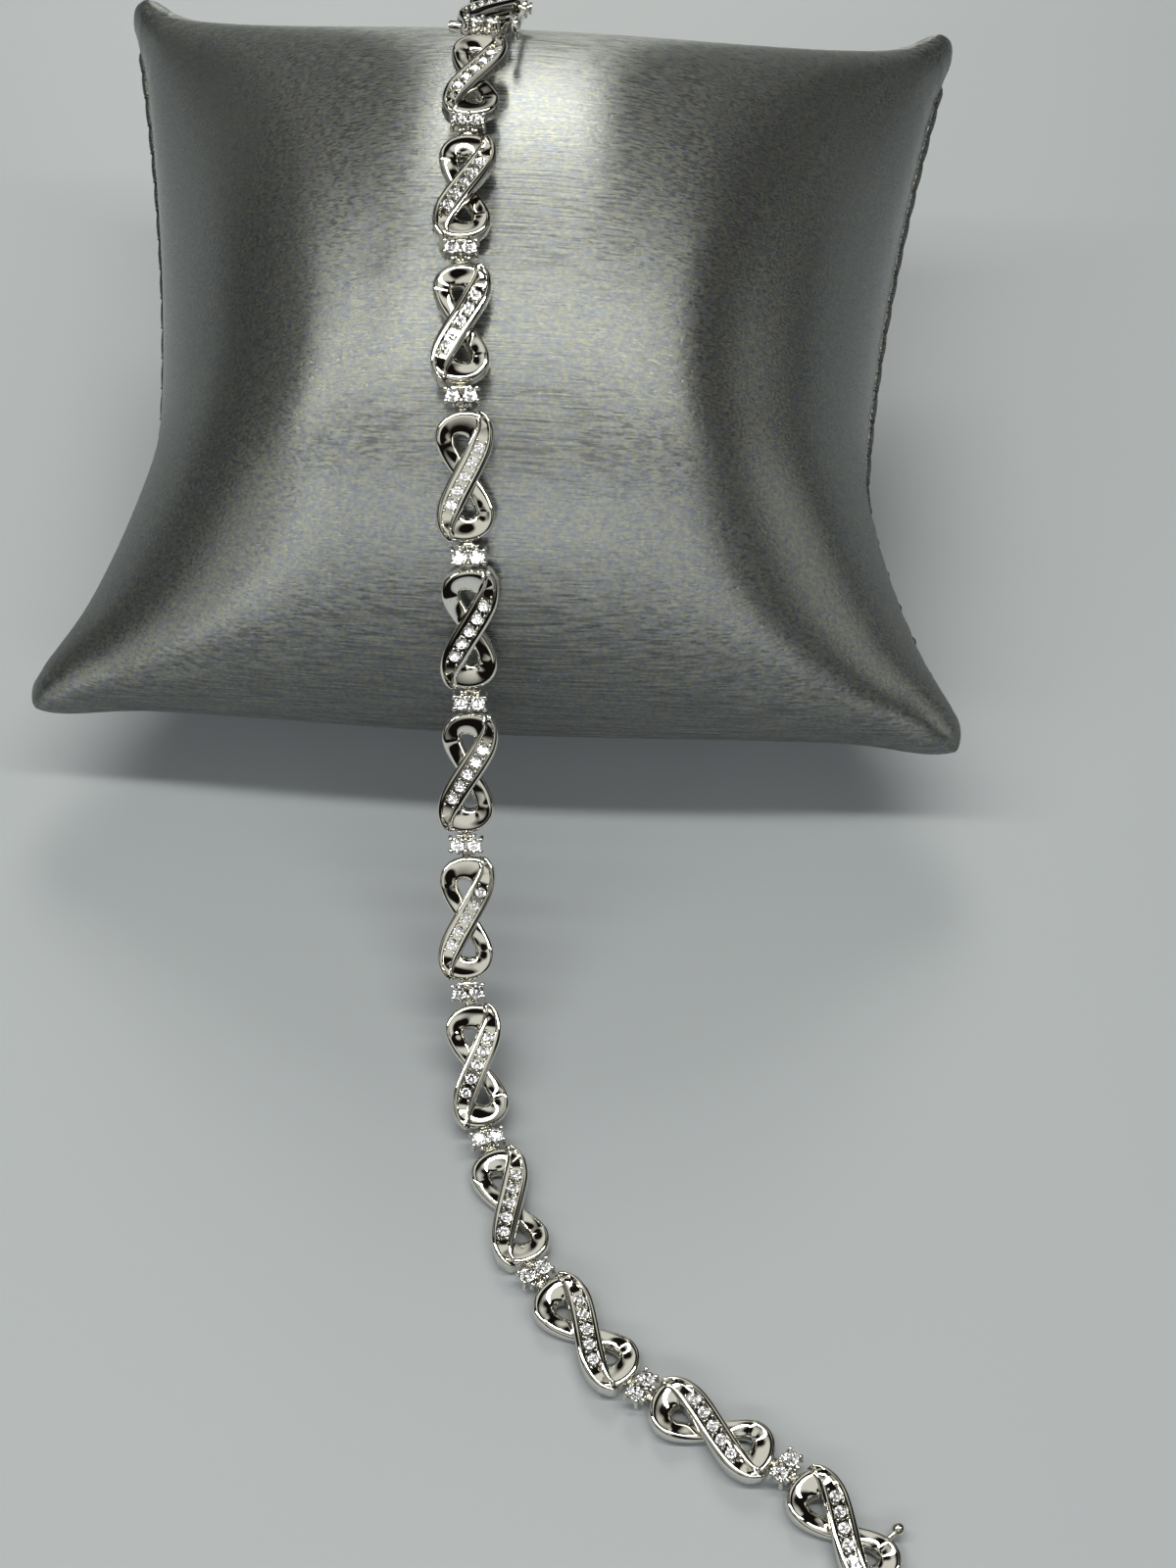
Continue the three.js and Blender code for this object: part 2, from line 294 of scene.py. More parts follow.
def new_group(name, inputs, outputs):
    group = bpy.data.node_groups.new(name, "ShaderNodeTree")
    for label, value in inputs:
        socket = group.interface.new_socket(label, in_out="INPUT", socket_type="NodeSocketFloat")
        socket.default_value = value
    for label, kind in outputs:
        group.interface.new_socket(label, in_out="OUTPUT", socket_type=kind)
    return group, group.nodes.new("NodeGroupInput"), group.nodes.new("NodeGroupOutput")


def node(tree, kind, **settings):
    made = tree.nodes.new(kind)
    for name, value in settings.items():
        if name in made.inputs:
            made.inputs[name].default_value = value
        else:
            setattr(made, name, value)
    return made


def remap(tree, from_range=(0.0, 1.0), to_range=(0.0, 1.0)):
    """A Map Range node from one range to another."""
    made = node(tree, "ShaderNodeMapRange")
    for label, (least, most) in (("From", from_range), ("To", to_range)):
        made.inputs[f"{label} Min"].default_value = least
        made.inputs[f"{label} Max"].default_value = most
    return made


def two_tones(tree, tones, positions=(0.0, 1.0)):
    """A colour ramp between two colours."""
    made = node(tree, "ShaderNodeValToRGB")
    for element, tone, position in zip(made.color_ramp.elements, tones, positions):
        element.position = position
        element.color = (*tone, 1)
    return made


def fine_wear():
    """Scuffs in patches: a roughness mask and a height."""
    group, given, put = new_group(
        "fine wear",
        [("Scale", 900.0), ("Patches", 120.0)],
        [("Scuffs", "NodeSocketFloat"), ("Height", "NodeSocketFloat")],
    )
    place = group.nodes.new("ShaderNodeTexCoord")
    scuff = node(group, "ShaderNodeTexNoise", Detail=6.0, Roughness=0.7)
    patch = node(group, "ShaderNodeTexNoise", Detail=2.0)
    spread = remap(group, from_range=(0.42, 0.72))
    product = node(group, "ShaderNodeMath", operation="MULTIPLY")
    group.links.new(place.outputs["Object"], scuff.inputs["Vector"])
    group.links.new(place.outputs["Object"], patch.inputs["Vector"])
    group.links.new(given.outputs["Scale"], scuff.inputs["Scale"])
    group.links.new(given.outputs["Patches"], patch.inputs["Scale"])
    group.links.new(patch.outputs["Fac"], spread.inputs["Value"])
    group.links.new(spread.outputs["Result"], product.inputs[0])
    group.links.new(scuff.outputs["Fac"], product.inputs[1])
    group.links.new(product.outputs["Value"], put.inputs["Scuffs"])
    group.links.new(scuff.outputs["Fac"], put.inputs["Height"])
    return group


FINE_WEAR = fine_wear()


def new_material(name):
    material = bpy.data.materials.new(name)
    material.use_nodes = True
    return material, material.node_tree, material.node_tree.nodes["Principled BSDF"]


def polished_metal():
    material, tree, shader = new_material("polished white gold")
    wear = node(tree, "ShaderNodeGroup", node_tree=FINE_WEAR)
    rough = remap(tree, to_range=(0.02, 0.09))
    bump = node(tree, "ShaderNodeBump", Strength=0.05, Distance=0.00002)
    shader.inputs["Base Color"].default_value = (0.80, 0.785, 0.72, 1)
    shader.inputs["Metallic"].default_value = 1.0
    tree.links.new(wear.outputs["Scuffs"], rough.inputs["Value"])
    tree.links.new(rough.outputs["Result"], shader.inputs["Roughness"])
    tree.links.new(wear.outputs["Height"], bump.inputs["Height"])
    tree.links.new(bump.outputs["Normal"], shader.inputs["Normal"])
    return material


METAL = polished_metal()

# %% [markdown]
# ## The two strands of a link
#
# Seen from above, each strand follows a figure of eight, x = lobe * sin(2a) and y = half * sin(a),
# made a little fuller towards its ends, and the lower one is mirrored. The stone-set strand
# passes over the smooth one. Its section is a band with two polished rails and a channel sunk
# between them, and the channel narrows to a point at both ends. The section is half a profile,
# mirrored: how far across, what share of the height, and how much of it the channel sinks.

# %% The curve of the strands
Strand = namedtuple("Strand", "lobe half_length sweep fullness")
TOP = Strand(1.9, 6.0, math.radians(71), 0.05)
UNDER = Strand(-1.66, 4.74, math.radians(122), 0.02)
LINK_BOTTOM = -0.92
LINK_TOP = 1.32


def strand_curve(strand, along):
    """Centre and direction of a strand in plan, from -1 to 1 along it."""
    angle = along * strand.sweep
    swing = 2 * angle - strand.fullness * math.sin(2 * angle)
    swing_rate = 2 - 2 * strand.fullness * math.cos(2 * angle)
    centre = Vector((strand.lobe * math.sin(swing), strand.half_length * math.sin(angle), 0))
    across_rate = strand.lobe * swing_rate * math.cos(swing)
    return centre, Vector((across_rate, strand.half_length * math.cos(angle), 0)).normalized()


def across_of(ahead):
    return Vector((ahead.y, -ahead.x, 0))


# %% The stone-set strand
ProfilePoint = namedtuple("ProfilePoint", "across share sunk")
TOP_HALF_PROFILE = [
    ProfilePoint(0.30, 0.00, 0),
    ProfilePoint(0.72, 0.00, 0),
    ProfilePoint(0.90, 0.04, 0),
    ProfilePoint(0.98, 0.16, 0),
    ProfilePoint(1.00, 0.50, 0),
    ProfilePoint(1.00, 0.72, 0),
    ProfilePoint(0.985, 0.82, 0),
    ProfilePoint(0.94, 0.90, 0),
    ProfilePoint(0.86, 0.955, 0),
    ProfilePoint(0.76, 0.985, 0),
    ProfilePoint(0.62, 1.00, 0),
    ProfilePoint(0.53, 0.995, 0),
    ProfilePoint(0.49, 0.97, 0.08),
    ProfilePoint(0.475, 0.97, 0.92),
    ProfilePoint(0.43, 0.97, 1),
    ProfilePoint(0.16, 0.97, 1),
]
TOP_WIDTHS = (2.35, 1.0)
CHANNEL_DEPTH = 0.62
ARCH = 1.0
END_DROP = 0.5
TIP_LEVEL = -0.1
TOP_ROWS = 64


def mirrored_profile(half):
    """A closed section: up the right side and down the left."""
    left = [point._replace(across=-point.across) for point in reversed(half)]
    return half + left


def top_height(along):
    return LINK_TOP - END_DROP * along * along


def channel_share(along):
    return 1 - ramp(abs(along), 0.44, 1.0)


def top_strand():
    profile = mirrored_profile(TOP_HALF_PROFILE)

    def place(along, around):
        point = profile[around]
        centre, ahead = strand_curve(TOP, along)
        half_width = mix(*TOP_WIDTHS, ramp(abs(along), 0.3, 1.0)) / 2
        open_share = channel_share(along)
        narrowed = mix(1, open_share, min(point.sunk * 1.5, 1))
        bottom = LINK_BOTTOM + ARCH * max(0, 1 - 4 * along * along)
        end_round = math.sqrt(max(0, 1 - ramp(abs(along), 0.9, 1.0) * 0.85))
        height = mix(bottom, top_height(along), point.share)
        height -= point.sunk * open_share * CHANNEL_DEPTH
        height = mix(TIP_LEVEL, height, mix(1, end_round, 0.6))
        offset = across_of(ahead) * (point.across * half_width * narrowed * end_round)
        return centre + offset + Vector((0, 0, height))

    return rolled_tube(len(profile), TOP_ROWS, place)


# %% The smooth strand
UNDER_HALF_WIDTH = (0.84, 1.42)
UNDER_TOP = 0.66
UNDER_DIP = 0.5
UNDER_LEAN = 0.26
UNDER_COLUMNS = 28
UNDER_ROWS = 72


def under_strand():
    def place(along, around):
        centre, ahead = strand_curve(UNDER, along)
        half_width = mix(*UNDER_HALF_WIDTH, along * along)
        turn = 2 * math.pi * around / UNDER_COLUMNS
        across = math.copysign(abs(math.cos(turn)) ** 0.55, math.cos(turn))
        share = 0.5 + 0.5 * math.copysign(abs(math.sin(turn)) ** 0.6, math.sin(turn))
        outer = -math.copysign(ramp(abs(along), 0.06, 0.4), along)
        top = UNDER_TOP - UNDER_DIP * max(0, 1 - 9 * along * along)
        lean = UNDER_LEAN * outer * across
        height = mix(LINK_BOTTOM, top + lean, share)
        offset = across_of(ahead) * (across * half_width)
        return centre + offset + Vector((0, 0, height))

    return rolled_tube(UNDER_COLUMNS, UNDER_ROWS, place)


# %% [markdown]
# ## Hinge eyes and channel stones
#
# A small rounded eye under each end of the link takes the connector's pin. In the channel, five
# small stones sit in a row with tiny beads raised between them, which hold their edges. The
# stones are spaced evenly along the curve, so its length is measured first.

# %% Hinge eyes
EYE_OUTER = 0.46
EYE_HOLE = 0.33
EYE_HALF = 0.38


def add_hinge_eye(bm, end):
    y = end * LINK_PITCH / 2
    add_ring(bm, EYE_HOLE, EYE_OUTER, -EYE_HALF, EYE_HALF, y, 0, segments=18)
    near, far = sorted((end * UNDER.half_length, end * (LINK_PITCH / 2 - EYE_HOLE - 0.02)))
    add_block(bm, (-EYE_HALF, EYE_HALF), (near, far), (-0.32, 0.32), rounding=0.08, segments=2)


# %% Places along the channel
CHANNEL_STONES = 5
CHANNEL_STONE_PITCH = 1.4
CHANNEL_STONE_DIAMETER = 1.02
CURVE_STEPS = 400


def channel_frames(distances):
    """Frames on the channel's floor line, at distances in mm from the middle of the strand."""
    marks = []
    length = 0
    previous = strand_curve(TOP, 0)[0]
    for step in range(CURVE_STEPS + 1):
        along = step / CURVE_STEPS
        centre = strand_curve(TOP, along)[0]
        length += (centre - previous).length
        previous = centre
        marks.append((length, along))
    frames = []
    for distance in distances:
        along = next(along for length, along in marks if length >= abs(distance))
        along = math.copysign(along, distance)
        centre, ahead = strand_curve(TOP, along)
        slope = Vector((ahead.x, ahead.y, -2 * END_DROP * along / TOP.half_length)).normalized()
        side = across_of(ahead).normalized()
        up = side.cross(slope)
        turned = Matrix((side, slope, up)).transposed().to_4x4()
        place = centre + Vector((0, 0, top_height(along)))
        frames.append(Matrix.Translation(place) @ turned)
    return frames


STONE_DISTANCES = [
    (index - (CHANNEL_STONES - 1) / 2) * CHANNEL_STONE_PITCH for index in range(CHANNEL_STONES)
]
print("channel stones along the strand:", [round(distance, 2) for distance in STONE_DISTANCES])

# %% Beads between the channel stones
BEAD_RADIUS = 0.14
BEAD_X = 0.43
BEAD_Z = -0.08


def add_channel_beads(bm):
    gaps = range(CHANNEL_STONES + 1)
    distances = [(gap - CHANNEL_STONES / 2) * CHANNEL_STONE_PITCH for gap in gaps]
    for place in channel_frames(distances):
        for side in (-1, 1):
            add_bead(bm, BEAD_RADIUS, place @ Vector((side * BEAD_X, 0, BEAD_Z)))


# %% [markdown]
# ## A round brilliant
#
# Every stone is a round brilliant: a flat table, a crown of kite and star facets, a thin girdle
# and a pointed pavilion. All its facets are flat and the whole is convex, so rings of points and
# one convex hull give the cut exactly, with nothing to work out by hand.

# %% Cut a brilliant
Ring = namedtuple("Ring", "count radius height turn")
CUT = [
    Ring(8, 0.56, 0.16, 0.5),
    Ring(8, 0.80, 0.09, 0),
    Ring(16, 1.00, 0.01, 0),
    Ring(16, 1.00, -0.01, 0),
    Ring(8, 0.50, -0.22, 0.5),
    Ring(3, 0.02, -0.43, 0),
]


def add_brilliant(bm, diameter, place, girdle_height):
    """A stone with its girdle at a height in the given frame."""
    stone = bmesh.new()
    for ring in CUT:
        turn = Matrix.Rotation(ring.turn * 2 * math.pi / ring.count, 4, "Z")
        level = Matrix.Translation((0, 0, ring.height * 2))
        bmesh.ops.create_circle(
            stone, segments=ring.count, radius=ring.radius, matrix=level @ turn
        )
    hull = bmesh.ops.convex_hull(stone, input=stone.verts[:])
    loose = [part for part in hull["geom_interior"] if isinstance(part, bmesh.types.BMVert)]
    bmesh.ops.delete(stone, geom=loose, context="VERTS")
    size = Matrix.Translation((0, 0, girdle_height)) @ Matrix.Scale(diameter / 2, 4)
    bmesh.ops.transform(stone, matrix=place @ size, verts=stone.verts)
    bmesh.ops.recalc_face_normals(stone, faces=stone.faces)
    take_in(bm, stone)


def clear_stone():
    material, _, shader = new_material("clear brilliant")
    shader.inputs["Base Color"].default_value = (0.97, 0.98, 1.0, 1)
    shader.inputs["Roughness"].default_value = 0.0
    shader.inputs["IOR"].default_value = 2.0
    shader.inputs["Transmission Weight"].default_value = 1.0
    return material


STONE = clear_stone()
CHANNEL_GIRDLE = -0.16


def add_channel_stones(bm):
    for place in channel_frames(STONE_DISTANCES):
        add_brilliant(bm, CHANNEL_STONE_DIAMETER, place, CHANNEL_GIRDLE)


# %% Make the links


def link_metal(ends=(-1, 1)):
    bm = top_strand()
    take_in(bm, under_strand())
    for end in ends:
        add_hinge_eye(bm, end)
    add_channel_beads(bm)
    return bm


for index, place in enumerate(link_frames[1:-1], start=2):
    name = f"infinity_link_{index:02d}"
    finished(f"polished_{name}", link_metal(), place, METAL, replaces=[name])
print("plain links made:", len(link_frames) - 2)

for index, place in enumerate(link_frames, start=1):
    stones = bmesh.new()
    add_channel_stones(stones)
    finished(f"channel_stones_{index:02d}", stones, place, STONE, smooth_below=0)

# %% [markdown]
# ## The clasp link and the tongue link
#
# The chain's first link is soldered onto the clasp's box. The tongue slides into the box's far
# end, the round tab on the left releases it, and a figure-of-eight safety catch turns on a headed
# pin on the right. The last link carries the tongue, a strip of metal folded back on itself, and
# the small ball that the safety catch snaps over.

# %% The clasp link
BOX_HALF = 2.05
BOX_ENDS = (-5.1, 6.1)
BOX_TOP = 0.34
BOX_MOUTH = 1.1
MOUTH_ROUNDING = 0.06
WALL_INSET = 0.015
TAB_Y = -4.9
TAB_Z = LINK_BOTTOM + 0.63
CATCH_PIVOT = Vector((0, 2.7, 0.3))


def clasp_link():
    bm = link_metal(ends=[-1])
    add_block(bm, (-BOX_HALF, BOX_HALF), (BOX_ENDS[0], BOX_ENDS[1] - 0.9), (LINK_BOTTOM, BOX_TOP))
    for z_range in ((LINK_BOTTOM, LINK_BOTTOM + 0.4), (BOX_TOP - 0.25, BOX_TOP)):
        y_range = (BOX_ENDS[1] - BOX_MOUTH, BOX_ENDS[1])
        add_block(bm, (-BOX_HALF, BOX_HALF), y_range, z_range, MOUTH_ROUNDING)
    for side in (-1, 1):
        x_range = sorted((side * 1.45, side * (BOX_HALF - WALL_INSET)))
        y_range = (BOX_ENDS[1] - BOX_MOUTH, BOX_ENDS[1] - WALL_INSET)
        z_range = (LINK_BOTTOM + WALL_INSET, BOX_TOP - WALL_INSET)
        add_block(bm, x_range, y_range, z_range, MOUTH_ROUNDING)
    add_rod(bm, 0.58, -3.45, -1.75, TAB_Y, TAB_Z)
    add_rod(bm, 0.44, -3.48, -3.4, TAB_Y, TAB_Z, rounding=0.06)
    add_rod(bm, 0.32, 1.75, 3.9, CATCH_PIVOT.y, CATCH_PIVOT.z)
    add_rod(bm, 0.62, 3.62, 3.92, CATCH_PIVOT.y, CATCH_PIVOT.z, rounding=0.2)
    return bm


finished(
    "polished_clasp_link",
    clasp_link(),
    link_frames[0],
    METAL,
    replaces=["clasp_link_01"],
)

# %% The tongue link
TONGUE_HALF = 1.25
TONGUE_LENGTH = 5.3
BALL = Vector((3.66, -2.9, 0.15))
BALL_RADIUS = 0.6
LEAF_HEIGHTS = ((-0.275, -0.04), (0.04, 0.275))


def tongue_link():
    bm = link_metal(ends=[1])
    far = -UNDER.half_length - TONGUE_LENGTH
    near = -UNDER.half_length + 0.4
    for z_range in LEAF_HEIGHTS:
        add_block(bm, (-TONGUE_HALF, TONGUE_HALF), (far + 0.12, near), z_range, rounding=0.07)
    add_rod(bm, 0.275, -TONGUE_HALF, TONGUE_HALF, far + 0.275, 0)
    add_rod(bm, 0.26, 2.0, BALL.x, BALL.y, BALL.z)
    bmesh.ops.create_uvsphere(
        bm, u_segments=24, v_segments=16, radius=BALL_RADIUS, matrix=Matrix.Translation(BALL)
    )
    return bm


finished(
    "polished_tongue_link",
    tongue_link(),
    link_frames[-1],
    METAL,
    replaces=["tongue_link_13"],
)

# %% The safety catch
CATCH_SPACING = 8.5
CATCH_X = (2.98, 3.48)


def safety_catch():
    bm = bmesh.new()
    add_ring(bm, 0.46, 1.05, *CATCH_X, 0, 0)
    add_ring(bm, 0.72, 1.3, *CATCH_X, -CATCH_SPACING, 0)
    for side in (-1, 1):
        z_range = sorted((side * 0.1, side * 0.42))
        add_block(bm, CATCH_X, (-CATCH_SPACING + 1.05, -0.8), z_range, rounding=0.12)
    return bm


finished(
    "polished_safety_catch",
    safety_catch(),
    link_frames[0] @ Matrix.Translation(CATCH_PIVOT),
    METAL,
    body="safety_catch",
    replaces=["safety_catch"],
)

# %% [markdown]
# ## The two-stone connectors
#
# A connector is a fork below and a pair of settings above. Its two cheeks hold the hinge pins,
# and each stone sits in a tapered collet between prongs. Six prongs serve both stones, because
# the middle pair is shared, and each ends in a rounded bead pressed over the stone's edge.

# %% Make a connector
STONE_X = 0.79
STONE_DIAMETER = 1.34
GIRDLE_HEIGHT = 1.3
PRONG_X = 1.53
PRONG_Y = 0.70
PRONG_TOP = 1.42
CHEEK_X = (0.56, 0.92)
CHEEK_BOTTOM = -0.38
CHEEK_REACH = HINGE_PITCH / 2 + 0.17
PLATE_Z = (0.58, 0.76)


def add_prong(bm, x, y):
    """A tapered post with a bead, leaning a little over the stones."""
    prong = bmesh.new()
    height = PRONG_TOP - PLATE_Z[0]
    bmesh.ops.create_cone(
        prong, cap_ends=True, segments=12, radius1=0.22, radius2=0.17, depth=height
    )
    bmesh.ops.translate(prong, verts=prong.verts, vec=(0, 0, PLATE_Z[0] + height / 2))
    add_bead(prong, 0.24, (0, 0, PRONG_TOP - 0.02), squash=0.8)
    lean = Matrix.Shear("XY", 4, (-0.08 * x / PRONG_X, -0.1 * math.copysign(1, y)))
    bmesh.ops.transform(prong, matrix=Matrix.Translation((x, y, 0)) @ lean, verts=prong.verts)
    take_in(bm, prong)


def add_collet(bm, x):
    """A tapered cup under one stone."""
    collet = bmesh.new()
    bmesh.ops.create_cone(
        collet, cap_ends=False, segments=28, radius1=0.42, radius2=0.7, depth=0.5
    )
    bmesh.ops.solidify(collet, geom=collet.faces[:], thickness=0.09)
    bmesh.ops.recalc_face_normals(collet, faces=collet.faces)
    bmesh.ops.translate(collet, verts=collet.verts, vec=(x, 0, PLATE_Z[1] + 0.2))
    take_in(bm, collet)


def connector_metal():
    bm = bmesh.new()
    for side in (-1, 1):
        x_range = sorted(side * x for x in CHEEK_X)
        add_block(bm, x_range, (-CHEEK_REACH, CHEEK_REACH), (CHEEK_BOTTOM, PLATE_Z[1]), 0.12)
        add_rod(bm, 0.16, -0.97, 0.97, side * HINGE_PITCH / 2, 0, segments=14)
        add_collet(bm, side * STONE_X)
        for end in (-1, 1):
            add_bead(bm, 0.2, (side * PRONG_X * 0.98, end * PRONG_Y, 0.42))
            add_bead(bm, 0.19, (side * 0.42, end * 0.78, 0.62))
    add_block(bm, (-1.45, 1.45), (-0.5, 0.5), PLATE_Z, rounding=0.07)
    for x in (-PRONG_X, 0, PRONG_X):
        for y in (-PRONG_Y, PRONG_Y):
            add_prong(bm, x, y)
    return bm


for index, place in enumerate(connector_frames, start=1):
    name = f"connector_{index:02d}"
    finished(f"polished_{name}", connector_metal(), place, METAL, replaces=[name])
    for side, label in SIDES:
        stone = bmesh.new()
        seat = place @ Matrix.Translation((side * STONE_X, 0, 0))
        add_brilliant(stone, STONE_DIAMETER, seat, GIRDLE_HEIGHT)
        finished(
            f"brilliant_{index:02d}_{label}",
            stone,
            Matrix.Identity(4),
            STONE,
            replaces=[f"stone_{index:02d}_{label}"],
            smooth_below=0,
        )
print("connectors made:", len(connector_frames))

# %% [markdown]
# ## Pearl leatherette
#
# The pillow's cover is a coated cloth with a satin, slightly metallic finish. Its grain runs from
# side to side, in fine broken lines that catch the light, over a fine pebble. Noise stretched
# along X gives the lines. The same two noises drive the depth of the colour, the roughness and the
# bump, so that the streaks and their shine agree, and a third one shifts the hue. The shine itself
# is drawn out round the pillow, across the lines.

# %% The grain of the leatherette


def pearl_grain():
    """Long streaks along X over a fine pebble: the streaks, a slow change of hue, a height."""
    group, given, put = new_group(
        "pearl grain",
        [("Fineness", 1.0)],
        [
            ("Streaks", "NodeSocketFloat"),
            ("Hue", "NodeSocketFloat"),
            ("Height", "NodeSocketFloat"),
        ],
    )
    place = group.nodes.new("ShaderNodeTexCoord")
    long_stretch = node(group, "ShaderNodeMapping", Scale=(150, 4800, 4800))
    short_stretch = node(group, "ShaderNodeMapping", Scale=(3000, 5000, 5000))
    streaks = node(group, "ShaderNodeTexNoise", Detail=3.0, Roughness=0.5)
    pebble = node(group, "ShaderNodeTexNoise", Detail=2.0, Roughness=0.6)
    hue = node(group, "ShaderNodeTexNoise", Scale=2600.0, Detail=1.0)
    height = node(group, "ShaderNodeMath", operation="MULTIPLY_ADD")
    height.inputs[1].default_value = 0.6
    for stretch, noise in ((long_stretch, streaks), (short_stretch, pebble)):
        group.links.new(place.outputs["Object"], stretch.inputs["Vector"])
        group.links.new(stretch.outputs["Vector"], noise.inputs["Vector"])
        group.links.new(given.outputs["Fineness"], noise.inputs["Scale"])
    group.links.new(place.outputs["Object"], hue.inputs["Vector"])
    group.links.new(pebble.outputs["Fac"], height.inputs[0])
    group.links.new(streaks.outputs["Fac"], height.inputs[2])
    group.links.new(streaks.outputs["Fac"], put.inputs["Streaks"])
    group.links.new(hue.outputs["Fac"], put.inputs["Hue"])
    group.links.new(height.outputs["Value"], put.inputs["Height"])
    return group


COOL_GREY = (0.098, 0.109, 0.126)
WARM_GREY = (0.144, 0.147, 0.118)


def pearl_leatherette():
    material, tree, shader = new_material("pearl leatherette")
    grain = node(tree, "ShaderNodeGroup", node_tree=pearl_grain())
    hues = two_tones(tree, (COOL_GREY, WARM_GREY), positions=(0.36, 0.64))
    depth = remap(tree, from_range=(0.6, 1.0), to_range=(0.74, 1.26))
    shaded = node(tree, "ShaderNodeMix", data_type="RGBA", blend_type="MULTIPLY")
    shaded.inputs["Factor"].default_value = 1.0
    rough = remap(tree, from_range=(0.3, 0.7), to_range=(0.21, 0.37))
    bump = node(tree, "ShaderNodeBump", Strength=0.3, Distance=0.0001)
    surface = tree.nodes.new("ShaderNodeNewGeometry")
    around = node(tree, "ShaderNodeVectorMath", operation="CROSS_PRODUCT")
    around.inputs[0].default_value = (1, 0, 0)
    shader.inputs["Metallic"].default_value = 0.82
    shader.inputs["Anisotropic"].default_value = 0.95
    tree.links.new(grain.outputs["Hue"], hues.inputs["Fac"])
    tree.links.new(grain.outputs["Height"], depth.inputs["Value"])
    tree.links.new(hues.outputs["Color"], shaded.inputs[6])
    tree.links.new(depth.outputs["Result"], shaded.inputs[7])
    tree.links.new(shaded.outputs[2], shader.inputs["Base Color"])
    tree.links.new(grain.outputs["Streaks"], rough.inputs["Value"])
    tree.links.new(rough.outputs["Result"], shader.inputs["Roughness"])
    tree.links.new(grain.outputs["Height"], bump.inputs["Height"])
    tree.links.new(bump.outputs["Normal"], shader.inputs["Normal"])
    tree.links.new(surface.outputs["Normal"], around.inputs[1])
    tree.links.new(around.outputs["Vector"], shader.inputs["Tangent"])
    return material


LEATHERETTE = pearl_leatherette()

# %% [markdown]
# ## The display pillow
#
# The pillow is a short tube of leatherette, folded at the front and back, stuffed, and sewn shut
# along its left and right edges. Stuffing pulls the sewn edges in at the waist and leaves four
# blunt ears. Two grids shaped by one formula meet along the folds and seams. A cloth simulation
# then lets the stuffing press outwards against the held seams, which is what raises the soft
# swells between the ears. The shell is made thicker at the tips of the ears, because the folded
# cloth makes them blunt.

# %% The shape of the stuffed tube
CORNER = 46
WAIST = 36.2
WAIST_AT = -0.35
WAIST_POWER = 1.5
SEAM_HALF = 44
SEAM_HEIGHT = 19.5
TILT = math.radians(12.5)
BODY_HALF = 39
BODY_THICK = 28
BODY_Y = -7.9
BODY_Z = 23.4
EDGE_POWER = 2.1
SEAM_ROUND = 0.62
SEAM_POWERS = (2.9, 1.9)
CLOTH_RADIUS = 1.3
SLACK = 0.7
EAR_INSET = 0.35
EAR_SWELL = 0.85
EAR_RANGE = (1, 12)


def from_waist(v):
    return (v - WAIST_AT) / (math.copysign(1, v - WAIST_AT) - WAIST_AT)


def pillow_point(u, v, face, inset=0):
    """u from left seam to right, v from front fold to back, face 1 above and -1 below."""
    seam_power = mix(*SEAM_POWERS, ramp(from_waist(v), 0.2, 0.8))
    full = max(0, 1 - abs(u) ** seam_power) ** SEAM_ROUND
    half_width = mix(WAIST, CORNER, from_waist(v) ** WAIST_POWER) - inset * EAR_INSET
    along = v * (mix(SEAM_HALF - inset * EAR_INSET, BODY_HALF - inset, full))
    rounded = max(0, 1 - abs(v) ** EDGE_POWER) ** (1 / EDGE_POWER)
    away = face * (BODY_THICK - inset) * full * rounded
    y = BODY_Y * full + along * math.cos(TILT) - away * math.sin(TILT)
    z = mix(SEAM_HEIGHT, BODY_Z, full) + along * math.sin(TILT) + away * math.cos(TILT)
    return Vector((u * half_width, y, max(z, inset)))


# %% Two sheets make the shell
PILLOW_GRID = 80


def pillow_shell():
    """The stuffed tube, a little small, with the cloth's thickness round its edges and ears."""
    bm = bmesh.new()
    for face in (1, -1):
        sheet = bmesh.new()
        bmesh.ops.create_grid(sheet, x_segments=PILLOW_GRID, y_segments=PILLOW_GRID, size=1)
        for vert in sheet.verts:
            u = math.sin(vert.co.x * math.pi / 2)
            v = math.sin(vert.co.y * math.pi / 2)
            vert.co = pillow_point(u, v, face, inset=CLOTH_RADIUS + SLACK)
        if face < 0:
            bmesh.ops.reverse_faces(sheet, faces=sheet.faces)
        take_in(bm, sheet)
    bmesh.ops.remove_doubles(bm, verts=bm.verts, dist=1e-3)
    bmesh.ops.recalc_face_normals(bm, faces=bm.faces)
    tips = [pillow_point(side, end, 1) for side in (-1, 1) for end in (-1, 1)]
    for vert in bm.verts:
        to_tip = min((vert.co - tip).length for tip in tips)
        vert.co += vert.normal * (CLOTH_RADIUS + EAR_SWELL * (1 - ramp(to_tip, *EAR_RANGE)))
    return bm


# %% Remesh and stuff
STUFFING_SCALE = 10
VOXEL = 1.25
SEAM_HOLD = 2.4
STUFFING_STEPS = 20
CLOTH_SETTINGS = {
    "quality": 6,
    "mass": 0.3,
    "tension_stiffness": 15,
    "compression_stiffness": 12,
    "shear_stiffness": 8,
    "bending_stiffness": 1.5,
    "use_pressure": True,
    "uniform_pressure_force": 4,
    "vertex_group_mass": "seams",
}


def smooth_points(bm, factor):
    bmesh.ops.smooth_vert(
        bm, verts=bm.verts, factor=factor, use_axis_x=True, use_axis_y=True, use_axis_z=True
    )


